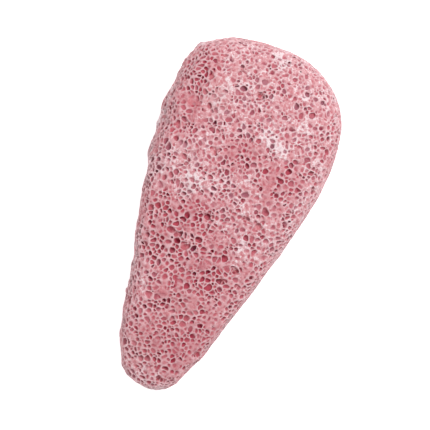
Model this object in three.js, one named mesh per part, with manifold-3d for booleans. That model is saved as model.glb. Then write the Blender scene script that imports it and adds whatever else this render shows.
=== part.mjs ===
import * as THREE from "three";
import Module from "manifold-3d";
import { ImprovedNoise } from "three/addons/math/ImprovedNoise.js";
import { MeshSurfaceSampler } from "three/addons/math/MeshSurfaceSampler.js";
import { mergeVertices } from "three/addons/utils/BufferGeometryUtils.js";

// A hand-sized pumice stone, in millimetres. +X runs from the blunt tip to the broad end, +Z is up,
// and the stone lies on its flat sole with the origin under the middle of its box.

// The outline seen from above, from the middle of the broad end around by the +Y flank.
const outlinePoints = [
  [55.0, 1.5],
  [54.0, 10.3],
  [52.3, 15.2],
  [47.0, 23.5],
  [42.0, 25.8],
  [35.8, 26.5],
  [25.9, 26.8],
  [18.2, 25.9],
  [12.2, 26.1],
  [7.5, 24.5],
  [-0.5, 23.1],
  [-11.1, 20.5],
  [-23.0, 17.3],
  [-36.3, 15.0],
  [-46.6, 11.6],
  [-52.6, 8.4],
  [-54.5, 4.8],
  [-55.3, 0.6],
  [-54.4, -4.4],
  [-50.4, -8.4],
  [-45.6, -10.1],
  [-40.9, -12.3],
  [-28.6, -15.7],
  [-14.6, -19.3],
  [-3.1, -22.4],
  [6.9, -24.6],
  [18.9, -26.6],
  [31.2, -26.7],
  [41.1, -24.5],
  [48.8, -18.8],
  [53.8, -9.4],
];

// Half of the cross-section: how far out from the spine, and how high, both as fractions.
const crossSection = [
  [0.0, 0.0],
  [0.36, 0.0],
  [0.62, 0.0],
  [0.78, 0.0],
  [0.88, 0.03],
  [0.95, 0.1],
  [0.984, 0.2],
  [0.997, 0.34],
  [1.0, 0.5],
  [0.991, 0.64],
  [0.97, 0.76],
  [0.934, 0.85],
  [0.873, 0.915],
  [0.77, 0.957],
  [0.6, 0.981],
  [0.4, 0.992],
  [0.34, 0.995],
  [0.28, 0.997],
  [0.22, 0.999],
  [0.16, 1.0],
  [0.1, 1.0],
  [0.05, 1.0],
  [0.0, 1.0],
];
const girthFraction = 0.5;
const innerFraction = 0.4;

// The back of the stone seen from the side: place along the stone, and height there.
const backLine = [
  [-56, 17.0],
  [-34, 22.5],
  [-6, 28.0],
  [20, 31.0],
  [40, 30.4],
  [56, 28.0],
];

const columns = 80;
const spineTip = -41;
const spineBroadEnd = 29;
const spineSide = 0.5;
const crestX = 12;
const flankSoftness = 0.14;
const halfLength = 54.8;
const halfWidth = 26.7;
const waveLength = 27;
const waveHeight = 1.0;
const dentDepth = 0.2;
const dentLevels = 3;

const pitCount = 72;
const pitSmall = 0.95;
const pitLarge = 1.4;
const pitSinkLeast = -0.45;
const pitSinkMost = 0.2;
const pitGap = 1.5;
const pitTries = 6000;
const soleClearRadius = 9;
const soleClearHeight = 2;
const pitSeed = 11;

const wasm = await Module();
wasm.setup();

function plain(geometry) {
  const bare = geometry.clone();
  bare.deleteAttribute("normal");
  bare.deleteAttribute("uv");
  return mergeVertices(bare, 1e-4);
}

function toSolid(geometry) {
  const welded = plain(geometry);
  const corners = welded.index.array;
  const kept = [];
  for (let i = 0; i < corners.length; i += 3) {
    const [a, b, c] = [corners[i], corners[i + 1], corners[i + 2]];
    if (a !== b && b !== c && c !== a) {
      kept.push(a, b, c);
    }
  }
  const vertProperties = new Float32Array(welded.attributes.position.array);
  return new wasm.Manifold(new wasm.Mesh({ numProp: 3, vertProperties, triVerts: new Uint32Array(kept) }));
}

function toGeometry(solid) {
  const mesh = solid.getMesh();
  const geometry = new THREE.BufferGeometry();
  geometry.setAttribute("position", new THREE.BufferAttribute(new Float32Array(mesh.vertProperties), 3));
  geometry.setIndex(new THREE.BufferAttribute(new Uint32Array(mesh.triVerts), 1));
  geometry.computeVertexNormals();
  return geometry;
}

// The lump without its pits: a lathed half-section whose rings are pulled out to the outline.
// Near the rim each ring closes on a spine along the stone, and further in on the crest.
function lump() {
  const profile = crossSection.map(([out, up]) => new THREE.Vector2(out, up));
  const geometry = new THREE.LatheGeometry(profile, columns);
  const corners = outlinePoints.map(([x, y]) => new THREE.Vector3(x, y, 0));
  const outline = new THREE.CatmullRomCurve3(corners, true, "centripetal");
  const back = new THREE.SplineCurve(backLine.map(([x, z]) => new THREE.Vector2(x, z)));
  const backSteps = back.getPoints(200);
  const wave = new ImprovedNoise();
  const crest = new THREE.Vector3(crestX, spineSide, 0);
  const position = geometry.attributes.position;
  const rows = profile.length;

  function heightAt(x) {
    const next = backSteps.findIndex((step) => step.x >= x);
    const [from, to] = [backSteps[next - 1], backSteps[next]];
    return THREE.MathUtils.mapLinear(x, from.x, to.x, from.y, to.y);
  }

  function swell(x, y, level) {
    return wave.noise(x / waveLength, y / waveLength, level);
  }

  for (let column = 0; column <= columns; column += 1) {
    const rim = outline.getPointAt((column % columns) / columns);
    const spineX = THREE.MathUtils.clamp(rim.x, spineTip, spineBroadEnd);
    const spine = new THREE.Vector3(spineX, spineSide, 0);
    const softness = flankSoftness * (rim.y / halfWidth - rim.x / halfLength);
    for (let row = 0; row < rows; row += 1) {
      const [out, up] = crossSection[row];
      const inset = Math.min(1, (1 - out) / (1 - innerFraction));
      const gentler = up > girthFraction ? softness * inset * (1 - inset) : 0;
      const dent = dentDepth * inset * swell(rim.x, rim.y, dentLevels * up);
      const reach = 1 - (inset + gentler + dent) * (1 - innerFraction);
      const place = new THREE.Vector3().lerpVectors(spine, rim, reach);
      if (out < innerFraction) {
        place.lerpVectors(place, crest, 1 - out / innerFraction);
      }
      const height = up * (heightAt(place.x) + waveHeight * swell(place.x, place.y, 0));
      position.setXYZ(column * rows + row, place.x, place.y, height);
    }
  }
  return toSolid(geometry);
}

// The largest gas pits: balls sunk into the skin at places scattered evenly over it.
// They stay apart, and off the middle of the sole.
function pits(skin) {
  THREE.MathUtils.seededRandom(pitSeed);
  const random = () => THREE.MathUtils.seededRandom();
  const sampler = new MeshSurfaceSampler(new THREE.Mesh(toGeometry(skin)));
  sampler.setRandomGenerator(random).build();
  const place = new THREE.Vector3();
  const facing = new THREE.Vector3();
  const made = [];
  for (let tries = 0; tries < pitTries && made.length < pitCount; tries += 1) {
    sampler.sample(place, facing);
    const radius = THREE.MathUtils.lerp(pitSmall, pitLarge, random());
    const sink = radius * THREE.MathUtils.lerp(pitSinkLeast, pitSinkMost, random());
    const middle = place.clone().addScaledVector(facing, -sink);
    const onSole = place.z < soleClearHeight && Math.hypot(place.x, place.y) < soleClearRadius;
    const crowded = made.some((pit) => pit.middle.distanceTo(middle) < pitGap + pit.radius + radius);
    if (!onSole && !crowded) {
      made.push({ middle, radius });
    }
  }
  return made.map(({ middle, radius }) => {
    const ball = new THREE.IcosahedronGeometry(radius, 1);
    ball.translate(middle.x, middle.y, middle.z);
    return toSolid(ball);
  });
}

function stone() {
  let solid = lump();
  for (const pit of pits(solid)) {
    solid = solid.subtract(pit);
  }
  const geometry = toGeometry(solid);
  geometry.computeBoundingBox();
  const { min, max } = geometry.boundingBox;
  geometry.translate(-(min.x + max.x) / 2, -(min.y + max.y) / 2, -min.z);
  return geometry;
}

const pumice = new THREE.MeshStandardMaterial({ color: 0xcb8f96, roughness: 0.95, metalness: 0 });

const part = new THREE.Group();
part.name = "pumice_stone_part";
const body = new THREE.Mesh(stone(), pumice);
body.name = "pumice_stone";
part.add(body);

export default part;
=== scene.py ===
import math

import bmesh
import bpy
import numpy as np
import openvdb
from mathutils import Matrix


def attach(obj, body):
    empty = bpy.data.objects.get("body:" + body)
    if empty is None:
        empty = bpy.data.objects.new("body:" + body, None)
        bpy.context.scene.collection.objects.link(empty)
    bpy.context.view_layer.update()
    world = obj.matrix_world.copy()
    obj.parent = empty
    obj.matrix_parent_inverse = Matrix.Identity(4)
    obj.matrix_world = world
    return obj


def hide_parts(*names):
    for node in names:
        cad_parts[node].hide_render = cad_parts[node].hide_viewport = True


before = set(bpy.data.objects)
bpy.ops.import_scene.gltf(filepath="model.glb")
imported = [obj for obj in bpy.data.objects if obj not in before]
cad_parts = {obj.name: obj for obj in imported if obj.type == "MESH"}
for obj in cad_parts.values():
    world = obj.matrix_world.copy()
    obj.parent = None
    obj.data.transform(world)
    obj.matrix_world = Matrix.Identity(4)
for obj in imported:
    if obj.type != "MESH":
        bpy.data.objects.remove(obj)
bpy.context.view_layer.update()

# The stone's lump. It is one piece of pumice, pink volcanic glass that froze as foam, and tumbling left
# it round, with a flat sole, low waves in its skin and ripples along one flank. Here it is a field of
# distances from the skin, in millimetres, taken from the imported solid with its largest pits.
SEED = 61
MM = 0.001
GRAIN = 0.2
BAND = 15
WAVE_WIDE = 5
WAVE_DEEP = 0.1
RIPPLE_WIDE = 2.3
RIPPLE_LEAST = 0.07
RIPPLE_MORE = 0.2
RIPPLE_START = 8
RIPPLE_RISE = 10
ROUGH_WIDE = 0.8
ROUGH_DEEP = 0.03
SOLE_FADE = 4

random = np.random.default_rng(SEED)


def numbers(things, name, width=1, kind=np.float64):
    """One property of each thing in a mesh, with a row for each thing where it has several numbers."""
    values = np.empty(width * len(things), kind)
    things.foreach_get(name, values)
    return values.reshape(-1, width) if width > 1 else values


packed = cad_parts["pumice_stone"].data
packed.calc_loop_triangles()
corners = numbers(packed.vertices, "co", 3) / MM
faces = numbers(packed.loop_triangles, "vertices", 3, np.uint32)

grid = openvdb.createLinearTransform(voxelSize=GRAIN)
level = openvdb.FloatGrid.createLevelSetFromPolygons(
    corners, triangles=faces, transform=grid, halfWidth=BAND
)
first, last = level.evalActiveVoxelBoundingBox()
skin = np.empty([b - a + 1 for a, b in zip(first, last)], np.float32)
level.copyToArray(skin, ijk=first)
origin = np.array(first) * GRAIN


def cloud(cell):
    """Smooth random hills as wide as cell, in millimetres, all through the field."""
    step = cell / GRAIN
    hills = random.standard_normal([int(n / step) + 5 for n in skin.shape]).astype(np.float32)
    for axis, count in enumerate(skin.shape):
        along = np.arange(count) / step
        cells = along.astype(int)
        t = (along - cells).astype(np.float32)
        # Six times the weights of a cubic spline through four neighbours.
        spread = ((1 - t) ** 3, 3 * t**3 - 6 * t**2 + 4, -3 * t**3 + 3 * t**2 + 3 * t + 1, t**3)
        turned = [1, 1, 1]
        turned[axis] = count
        hills = sum(np.take(hills, cells + k, axis) * (w / 6).reshape(turned) for k, w in enumerate(spread))
    return hills / hills.std()


aside, up = (origin[k] + np.arange(skin.shape[k]) * GRAIN for k in (1, 2))
ripple = np.clip((aside - RIPPLE_START) / RIPPLE_RISE, 0, 1)[:, None] * RIPPLE_MORE + RIPPLE_LEAST
steady = np.clip(up / SOLE_FADE, 0, 1)
wear = cloud(WAVE_WIDE) * WAVE_DEEP + cloud(RIPPLE_WIDE) * ripple + cloud(ROUGH_WIDE) * ROUGH_DEEP
wear = wear * steady
worn = skin + wear

# The gas pores. Gas bubbles froze in the rock and the tumbling opened those at the skin: round and
# bent pits with rock between them, some run together, some barely open, and pinholes among them.
# Along one band, and here and there elsewhere, the rock is tighter and its pits are faint.
TRIES = 130000
FIRST_TRIES = 80000
TIP_MOUTH = 0.74
BROAD_MOUTH = 0.64
BROAD_FROM = 25
LEAST_MOUTH = 0.36
MOST_MOUTH = 1.1
MOUTH_SPREAD = 0.19
FULL_SIZE = 0.85
OVERLAP = (-0.2, 0.05)
SPARE_WALL = 0.4
BROAD_WALLS = 0.35
WALL = 0.2
REACH = 2.2
FAR = 9
FAINT_SHARE = 0.45
FAINT_WHERE_TIGHT = 0.4
FAINT_WHEN_SMALL = 0.4
SMALL_MOUTH = 0.5
FAINT_SINK = (-0.8, -0.3)
OPEN_SINK = (-0.35, 0.3)
FAINT_GLOOM = -0.5
OPEN_GLOOM = (0, 0.4)
BEND = 0.19
BEND_WIDE = 1.2
STRETCH = (-0.15, 0.35)
STRETCH_ROOM = 1.4
PINHOLES = 800
PINHOLE_SINK = (0.1, 0.9)
PINHOLE_RADIUS = (0.24, 0.42)
PINHOLE_STRETCH = (-0.1, 0.3)
PINHOLE_GLOOM = (0.4, 1.0)
EDGE = 0.14
SPOT_HEIGHT = 27
SPOT_FADE = (1, 1, 0.3)
TIGHT_BAND = ((44, 8, 5), (33, 11, 6), (22, 12, 7), (14, 16, 6), (5, 10, 5))
TIGHT_HILLS = (0.4, 1.4)
CALM_WIDE = 9

sides = corners[faces]
across = np.cross(sides[:, 1] - sides[:, 0], sides[:, 2] - sides[:, 0])
area = np.linalg.norm(across, axis=1)
outward = across / area[:, None]
bend = [cloud(BEND_WIDE) * BEND for _ in range(3)]
nearest, second, clearance = (np.full(skin.shape, FAR, np.float32) for _ in range(3))
owner = np.zeros(skin.shape, np.int32)
kinds = [(0.5, 0.0)]


def at(places):
    """The field's cell at each place."""
    return tuple(np.round((places - origin) / GRAIN).astype(int).T)


def scatter(count):
    """Places spread evenly over the worn skin, with the way out of the stone at each."""
    chosen = random.choice(len(faces), count, p=area / area.sum())
    a, b = random.random((2, count, 1))
    fold = a + b > 1
    a, b = np.where(fold, 1 - a, a), np.where(fold, 1 - b, b)
    p, q, r = np.moveaxis(sides[chosen], 1, 0)
    places, ways = p + a * (q - p) + b * (r - p), outward[chosen]
    return places - ways * wear[at(places)][:, None], ways


def window(middle, reach):
    """The part of the field around a point, and where its cells lie from that point."""
    cell = np.round((middle - origin) / GRAIN).astype(int)
    count = int(reach / GRAIN) + 1
    low = np.maximum(cell - count, 0)
    high = np.minimum(cell + count + 1, skin.shape)
    box = tuple(slice(a, b) for a, b in zip(low, high))
    return box, [
        (np.arange(a, b, dtype=np.float32) * GRAIN + o - m).reshape([-1 if k == n else 1 for k in range(3)])
        for n, (a, b, o, m) in enumerate(zip(low, high, origin, middle))
    ]


def bubble(middle, radius, stretch):
    """How far the rock near a bubble lies from it; flowing rock left the bubble bent and stretched."""
    lean = random.normal(size=3)
    lean /= np.linalg.norm(lean)
    box, away = window(middle, radius * STRETCH_ROOM + 3 * BEND)
    x, y, z = (a + w[box] for a, w in zip(away, bend))
    along = (x * lean[0] + y * lean[1] + z * lean[2]) * stretch
    x, y, z = (a - along * n for a, n in zip((x, y, z), lean))
    return box, np.sqrt(x * x + y * y + z * z) - radius


def patchy(places, spots):
    """How near each place lies to the spots of a patch on the upper face, from 0 to 1."""
    near = [
        np.exp(-(((places - (x, y, SPOT_HEIGHT)) / wide) ** 2 * SPOT_FADE).sum(axis=1))
        for x, y, wide in spots
    ]
    return np.clip(np.sum(near, axis=0), 0, 1)


def patch(places, spots, hills, share, start):
    """How strong a patch is at each place: near its spots, and on the tops of some random hills."""
    return np.clip(patchy(places, spots) + share * (hills - start), 0, 1)


calm = cloud(CALM_WIDE)
places, ways = scatter(TRIES)
tight = patch(places, TIGHT_BAND, calm[at(places)], *TIGHT_HILLS)
sparser = np.clip(places[:, 0] / BROAD_FROM, 0, 1)
median = TIP_MOUTH + (BROAD_MOUTH - TIP_MOUTH) * sparser
wanted = (median * np.exp(random.normal(0, MOUTH_SPREAD, TRIES))).clip(LEAST_MOUTH, MOST_MOUTH)
walls = random.uniform(*OVERLAP, TRIES)
walls = walls + random.uniform(0, SPARE_WALL, TRIES) * np.maximum(BROAD_WALLS * sparser, tight)
fainter = FAINT_SHARE + FAINT_WHERE_TIGHT * tight
leasts = np.where(np.arange(TRIES) < FIRST_TRIES, FULL_SIZE * wanted, LEAST_MOUTH)
for place, way, mouth, wall, chance, least in zip(places, ways, wanted, walls, fainter, leasts):
    room = clearance[at(place)] - wall
    if room < least:
        continue
    mouth = min(mouth, room)
    box, (x, y, z) = window(place, mouth + REACH)
    part = clearance[box]
    np.minimum(part, np.sqrt(x * x + y * y + z * z) - mouth, out=part)
    faint = random.random() < chance + FAINT_WHEN_SMALL * (mouth < SMALL_MOUTH)
    sink = mouth * random.uniform(*(FAINT_SINK if faint else OPEN_SINK))
    box, away = bubble(place - way * sink, math.hypot(mouth, sink), random.uniform(*STRETCH))
    owner[box][away < nearest[box]] = len(kinds)
    np.minimum(second[box], np.maximum(nearest[box], away), out=second[box])
    np.minimum(nearest[box], away, out=nearest[box])
    # Each pore keeps a random tone for its colour, and a gloom: how much painted shade its hollow gets.
    kinds.append((random.random(), FAINT_GLOOM if faint else random.uniform(*OPEN_GLOOM)))
void = np.minimum(-nearest, (second - nearest - WALL) / 2)
pinholes = [(random.uniform(*PINHOLE_SINK), random.uniform(*PINHOLE_RADIUS)) for _ in range(PINHOLES)]
for place, way, (sink, radius) in zip(*scatter(PINHOLES), pinholes):
    box, away = bubble(place - way * sink, radius, random.uniform(*PINHOLE_STRETCH))
    owner[box][-away > void[box]] = len(kinds)
    np.maximum(void[box], -away, out=void[box])
    # Pinholes get the most gloom, so their painted shade is deepest.
    kinds.append((random.random() ** 0.5, random.uniform(*PINHOLE_GLOOM)))

overlap = np.clip(1 - np.abs(worn - void) / EDGE, 0, 1)
solid = np.maximum(worn, void) + overlap**2 * EDGE / 4

# The stone's surface, drawn where the field crosses from rock to air. The rougher upper side and
# flanks get most of the mesh, and the sole gets less. Loose crumbs, closed bubbles and loose flaps
# are left out. Its map lays the two sides out next to each other, with the flanks turned outward.
SOLE_TOP = 3.0
SOLE_FACES = 22000
TOP_FACES = 176500
SKIN_CELLS = 3
MAP_WIDE = 172
MAP_MIDDLE = (0.5, 0.25)
UPPER_HALF = 0.5
SPINE_ENDS = (-41, 29)
SPINE_SIDE = 0.5
BACK_PLACES = (-56, -6, 20, 56)
BACK_HEIGHTS = (17, 28, 31, 28)

level = openvdb.FloatGrid(background=SKIN_CELLS * GRAIN)
level.transform = grid
level.copyFromArray(np.clip(solid, -SKIN_CELLS * GRAIN, SKIN_CELLS * GRAIN), ijk=first)
level.gridClass = openvdb.GridClass.LEVEL_SET
points, _, fours = level.convertToPolygons(isovalue=0.0, adaptivity=0.0)
mesh = bpy.data.meshes.new("raw")
mesh.vertices.add(len(points))
mesh.vertices.foreach_set("co", (points * MM).astype(np.float32).ravel())
mesh.loops.add(fours.size)
mesh.loops.foreach_set("vertex_index", fours[:, ::-1].astype(np.int32).ravel())
mesh.polygons.add(len(fours))
mesh.polygons.foreach_set("loop_start", 4 * np.arange(len(fours), dtype=np.int32))
mesh.update(calc_edges=True)
raw = bpy.data.objects.new("raw", mesh)
bpy.context.scene.collection.objects.link(raw)
low = points[:, 2] < SOLE_TOP
raw.vertex_groups.new(name="sole").add(np.flatnonzero(low).tolist(), 1.0, "REPLACE")
top_share = 1 - low.mean()
every = 2 * len(fours)
sole_ratio = top_share + SOLE_FACES / every
top_ratio = (SOLE_FACES + TOP_FACES) / (every * top_share + SOLE_FACES)
for ratio, but_sole in ((sole_ratio, False), (top_ratio, True)):
    thin = raw.modifiers.new("thin", "DECIMATE")
    thin.vertex_group = "sole"
    thin.invert_vertex_group = but_sole
    thin.ratio = ratio
ready = raw.evaluated_get(bpy.context.evaluated_depsgraph_get())
stone = bpy.data.objects.new("stone", bpy.data.meshes.new_from_object(ready))
bpy.context.scene.collection.objects.link(stone)
bpy.data.objects.remove(raw)
bpy.data.meshes.remove(mesh)


def keep_one_lump(mesh):
    """Leaves only what is joined to the broad end, without the faces that hang on by one edge."""
    whole = bmesh.new()
    whole.from_mesh(mesh)
    reached = [max(whole.verts, key=lambda point: point.co.x)]
    joined = set(reached)
    while reached:
        point = reached.pop()
        beside = {edge.other_vert(point) for edge in point.link_edges} - joined
        joined |= beside
        reached.extend(beside)
    crumbs = [point for point in whole.verts if point not in joined]
    bmesh.ops.delete(whole, geom=crumbs, context="VERTS")
    flaps = [face for face in whole.faces if any(edge.is_boundary for edge in face.edges)]
    bmesh.ops.delete(whole, geom=flaps, context="FACES")
    whole.to_mesh(mesh)
    whole.free()


keep_one_lump(stone.data)
stone.data.shade_smooth()
spots = numbers(stone.data.vertices, "co", 3) / MM
middles = numbers(stone.data.polygons, "center", 3) / MM
ends = numbers(stone.data.loops, "vertex_index", kind=np.int32)
counts = numbers(stone.data.polygons, "loop_total", kind=np.int32)


def back(x):
    """The height of the stone's back at each place along it."""
    return np.interp(x, BACK_PLACES, BACK_HEIGHTS)


above = np.repeat(middles[:, 2] > back(middles[:, 0]) / 2, counts)
corner = spots[ends]
spine = np.column_stack([np.clip(corner[:, 0], *SPINE_ENDS), np.full(len(corner), SPINE_SIDE)])
away = corner[:, :2] - spine
away /= np.linalg.norm(away, axis=1, keepdims=True) + 1e-6
drop = np.where(above, back(corner[:, 0]) - corner[:, 2], corner[:, 2])
flat = (corner[:, :2] + away * drop[:, None]) / MAP_WIDE + MAP_MIDDLE
flat[above, 1] += UPPER_HALF
stone.data.uv_layers.new(name="OFBake").data.foreach_set("uv", flat.astype(np.float32).ravel())

# The colour goes with the pores. The skin is mottled from salmon to chalky pink. Pits get painted
# shade: rose, mauve or scarlet by each pore's tone, and plum or crimson the deeper and more enclosed
# they are, and rims get a painted highlight. So the mesh carries, at each vertex, how far down a pit it
# lies and how exposed it is, and where the rock is redder or chalkier, with painted shade near the tip.
NEAR = 0.4
WIDE = 1.2
TIP_FROM = 12
TIP_LONG = 60
RED_WIDE = 8
CHALK_WIDE = 4
CHALK_HILLS = (0.35, 1.2)
RED_SPOTS = (
    (39, 20, 6), (21.5, 1, 6), (17, -16, 6), (-1, 5, 4), (-17, -3, 9), (-29, 5, 5), (-33, -6, 5),
    (-42, -4, 5),
)
CHALK_SPOTS = (
    (48, 15, 3), (53, 1, 3.5), (43, -12, 3.5), (28, -6, 3.5), (25.5, -21, 3.5), (14, 1, 2.5), (5, 9, 3.5),
    (-7, 5, 2), (-10, -10, 2.5), (-44, 3, 2),
)


def blurred(field, reach):
    """The field's mean around each cell, out to about reach millimetres."""
    count = max(1, round(reach / GRAIN))
    for axis in range(3):
        for _ in range(2):
            lead = [(0, 0)] * 3
            lead[axis] = (count + 1, count)
            total = np.cumsum(np.pad(field, lead, "edge"), axis, dtype=np.float64)
            size = field.shape[axis]
            far = np.take(total, np.arange(size) + 2 * count + 1, axis)
            field = ((far - np.take(total, np.arange(size), axis)) / (2 * count + 1)).astype(np.float32)
    return field


def read(field):
    """The field's value at each vertex, smoothly between its cells."""
    place = (spots - origin) / GRAIN
    cell = np.floor(place).astype(int)
    part = place - cell
    total = np.zeros(len(spots))
    for beside in np.ndindex(2, 2, 2):
        weight = np.prod(np.where(beside, part, 1 - part), axis=1)
        total += weight * field[tuple((cell + beside).T)]
    return total


def carry(name, values):
    """Gives the stone's mesh one value at each vertex."""
    stone.data.attributes.new(name, "FLOAT", "POINT").data.foreach_set("value", values.astype(np.float32))


rock = np.clip(0.5 - solid / GRAIN, 0, 1)
near_rock = read(blurred(rock, NEAR)) - 0.5
wide_rock = read(blurred(rock, WIDE)) - 0.5
depth = -read(worn)
tone, gloom = np.array(kinds)[owner[at(spots)]].T
# Painted shade: the pit colour is laid on by depth and by how enclosed a vertex is, where hollows fall into
# shade.
carry("pit", np.clip(1.3 * depth + 1.5 * near_rock + 1.2 * wide_rock + 0.3 * np.minimum(gloom, 0), 0, 1))
# Painted shade at the bottom of deep, enclosed pits and pinholes, a little more in the redder patches.
carry("dark", 2 * near_rock + 0.35 * depth + 0.3 * gloom + 0.15 * patchy(spots, RED_SPOTS))
# A painted highlight on the exposed rims of pits.
carry("rim", np.clip(-near_rock * 6, 0, 1))
carry("tone", tone)
# The redness holds the rock's redder patches and, towards the narrow tip, painted shade that darkens and
# reddens it.
tipward = np.clip((TIP_FROM - spots[:, 0]) / TIP_LONG, 0, 1)
carry("red", np.clip(patchy(spots, RED_SPOTS) + 0.3 * read(cloud(RED_WIDE)) + 0.6 * tipward, 0, 1.3))
carry("chalk", patch(spots, CHALK_SPOTS, read(cloud(CHALK_WIDE)), *CHALK_HILLS))
carry("tight", patch(spots, TIGHT_BAND, read(calm), *TIGHT_HILLS))


class Value:
    """One node's output; arithmetic on it adds Math nodes to its finish."""

    def __init__(self, finish, socket):
        self.finish = finish
        self.socket = socket

    def maths(self, operation, *terms):
        return self.finish.node("ShaderNodeMath", {"operation": operation}, dict(enumerate(terms)))

    def __add__(self, other):
        return self.maths("ADD", self, other)

    def __sub__(self, other):
        return self.maths("SUBTRACT", self, other)

    def __rsub__(self, other):
        return self.maths("SUBTRACT", other, self)

    def __mul__(self, other):
        return self.maths("MULTIPLY", self, other)

    __radd__ = __add__
    __rmul__ = __mul__

    def ramp(self, *stops):
        """Values or colours by where this value lies among the stops."""
        return self.finish.node("ShaderNodeValToRGB", {"stops": stops}, {"Fac": self})


class Finish:
    """A material whose nodes are added one at a time."""

    def __init__(self, name):
        self.material = bpy.data.materials.new(name)
        self.material.use_nodes = True
        self.tree = self.material.node_tree
        self.shader = self.tree.nodes["Principled BSDF"]

    def node(self, kind, settings=None, inputs=None, output=0):
        made = self.tree.nodes.new(kind)
        for key, value in (settings or {}).items():
            if key == "stops":
                ramp = made.color_ramp.elements
                while len(ramp) < len(value):
                    ramp.new(0.5)
                for element, (place, colour) in zip(ramp, value):
                    element.position = place
                    element.color = colour if isinstance(colour, tuple) else (colour,) * 3 + (1,)
            else:
                setattr(made, key, value)
        for key, value in (inputs or {}).items():
            self.feed(made.inputs[key], value)
        return Value(self, made.outputs[output])

    def feed(self, socket, value):
        if isinstance(value, Value):
            self.tree.links.new(value.socket, socket)
        else:
            socket.default_value = value

    def surface(self, **values):
        """Sets or links the shader's own sockets; an underscore stands for a space in their names."""
        for name, value in values.items():
            self.feed(self.shader.inputs[name.replace("_", " ")], value)

    def attribute(self, name):
        return self.node("ShaderNodeAttribute", {"attribute_name": name}, output="Fac")

    def mix(self, part, first, second):
        """One colour over another; inputs 6 and 7 are the colour sockets of a Mix node."""
        return self.node("ShaderNodeMix", {"data_type": "RGBA"}, {0: part, 6: first, 7: second}, output=2)


pumice = Finish("pink_pumice")
place = pumice.node("ShaderNodeTexCoord", output="Object")


def noise(size, detail=3.0, rough=0.55):
    """Noise with features about size millimetres wide, from 0 to 1."""
    inputs = {"Vector": place, "Scale": 1 / (size * MM), "Detail": detail, "Roughness": rough}
    return pumice.node("ShaderNodeTexNoise", {"noise_dimensions": "3D"}, inputs)


CHALK = (0.80, 0.67, 0.69, 1)
# The painted highlight colour for rims.
RIM_HIGHLIGHT = (0.76, 0.54, 0.57, 1)
PALE = (0.61, 0.256, 0.283, 1)
SALMON = (0.545, 0.172, 0.194, 1)
CORAL = (0.50, 0.14, 0.165, 1)
BRICK = (0.42, 0.09, 0.115, 1)
MAUVE = (0.39, 0.15, 0.19, 1)
ROSE = (0.46, 0.135, 0.17, 1)
RED = (0.475, 0.118, 0.15, 1)
BLOOD = (0.43, 0.055, 0.085, 1)
# Painted shade colours for the depths of pits.
SHADE_PLUM = (0.20, 0.035, 0.08, 1)
SHADE_CRIMSON = (0.30, 0.012, 0.05, 1)
DUST = (0.61, 0.36, 0.36, 1)
MOTTLE = 1.8
FLECK = 0.5
STAIN = 0.8
POLISH = 1.0
CELL = 1.3
GRIT_HEIGHT = 0.0003

pit, dark, rim, tone, red, chalk, tight = (
    pumice.attribute(name) for name in ("pit", "dark", "rim", "tone", "red", "chalk", "tight")
)
cells = pumice.node("ShaderNodeTexVoronoi", {"feature": "F1"}, {"Vector": place, "Scale": 1 / (CELL * MM)})
closed = cells.ramp((0.26, 1.0), (0.48, 0.0))
mottled = 0.8 * noise(MOTTLE) + 0.8 * noise(FLECK)
# The redness lowers the skin's paleness, in the rock's redder patches and as painted shade near the tip.
pale = mottled + 0.3 * chalk + 0.1 * tight - 0.28 * red - 0.26 * closed - 0.18
skin_colour = pale.ramp((0.16, BRICK), (0.34, CORAL), (0.47, SALMON), (0.61, PALE), (0.78, CHALK))
# The redness also shifts pit colours redder, in patches and as painted shade near the tip.
tint = 0.7 * tone + 0.45 * red - 0.25 * chalk + 0.6 * noise(STAIN) - 0.3
# Pit colours, chosen by each pore's tone, are painted shade: darker and redder than the skin.
pit_shade_colour = tint.ramp((0.0, MAUVE), (0.3, ROSE), (0.6, RED), (0.9, BLOOD))
# The painted shade colour for the depths of pits, by each pore's tone.
deep_pit_shade_colour = tint.ramp((0.2, SHADE_PLUM), (0.6, SHADE_CRIMSON))
# Pits take the painted shade of their pit colour.
colour = pumice.mix(pit.ramp((0.12, 0.0), (0.85, 0.9)), skin_colour, pit_shade_colour)
# Deep pits and pinholes take a deeper painted shade.
colour = pumice.mix((0.5 * dark).ramp((0.3, 0.0), (0.64, 1.0)), colour, deep_pit_shade_colour)
# Rims take a painted highlight.
colour = pumice.mix(rim * 0.7, colour, RIM_HIGHLIGHT)
colour = pumice.mix(tight * 0.4, colour, DUST)
grit = noise(FLECK, 4.0, 0.7) - 0.5 * closed
bump = pumice.node("ShaderNodeBump", {}, {"Strength": 0.7, "Distance": GRIT_HEIGHT, "Height": grit})
pumice.surface(Base_Color=colour, Roughness=0.97 - 0.15 * rim - 0.1 * noise(POLISH), Normal=bump)
stone.data.materials.append(pumice.material)
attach(stone, "root")
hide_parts("pumice_stone")

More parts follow.
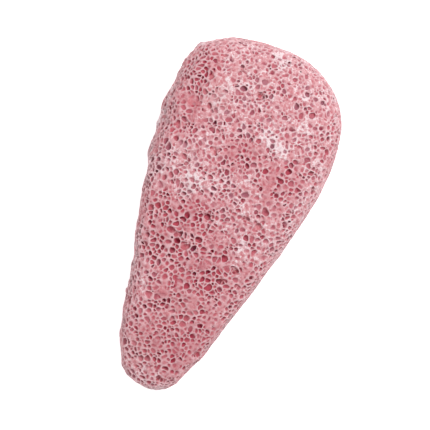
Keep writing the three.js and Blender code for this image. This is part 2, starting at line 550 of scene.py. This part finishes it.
# The table under the stone: a plain white sheet of paper that lies flat and glows a little, so that
# it stays white, and is large enough to fill any view.
TABLE_SIDE = 6
WHITE = (1, 1, 1, 1)

half = TABLE_SIDE / 2
edge_points = [(-half, -half, 0), (half, -half, 0), (half, half, 0), (-half, half, 0)]
sheet = bpy.data.meshes.new("table")
sheet.from_pydata(edge_points, [], [(0, 1, 2, 3)])
table = bpy.data.objects.new("table", sheet)
bpy.context.scene.collection.objects.link(table)
paper = Finish("white_paper")
paper.surface(Base_Color=(0.85, 0.85, 0.85, 1), Roughness=0.9, Emission_Color=WHITE, Emission_Strength=0.65)
table.data.materials.append(paper.material)

# The light: a wide soft lamp beyond the broad end, a weak one across from it, and a pale sky. Both
# lamps face the stone.
SKY_STRENGTH = 0.45

sky = bpy.data.worlds.new("sky")
sky.use_nodes = True
background = sky.node_tree.nodes["Background"]
background.inputs["Color"].default_value = WHITE
background.inputs["Strength"].default_value = SKY_STRENGTH
bpy.context.scene.world = sky


def lamp(name, place, size, power):
    """A square lamp that faces the stone, its side in metres and its power in watts."""
    light = bpy.data.lights.new(name, "AREA")
    light.size = size
    light.energy = power
    lit = bpy.data.objects.new(name, light)
    lit.location = place
    lit.rotation_euler = (-lit.location).to_track_quat("-Z", "Y").to_euler()
    bpy.context.scene.collection.objects.link(lit)


lamp("key", (0.36, -0.15, 0.66), 0.25, 4.5)
lamp("fill", (-0.5, 0.2, 0.3), 0.5, 0.9)

# The camera looks straight down, turned so that the broad end points up and to the right. It stands
# as far off as it takes to see a square of the width SEEN at the height of the stone's girth.
LENS = 120
SENSOR = 36
SEEN = 0.129
GIRTH = 0.0145
OVER = (0.00143, 0.00023)
TURN = -67.75

camera = bpy.data.cameras.new("camera")
camera.lens = LENS
camera.sensor_width = SENSOR
eye = bpy.data.objects.new("camera", camera)
eye.location = (*OVER, GIRTH + SEEN * LENS / SENSOR)
eye.rotation_euler = (0, 0, math.radians(TURN))
bpy.context.scene.collection.objects.link(eye)
bpy.context.scene.camera = eye
bpy.context.scene.view_settings.view_transform = "Standard"
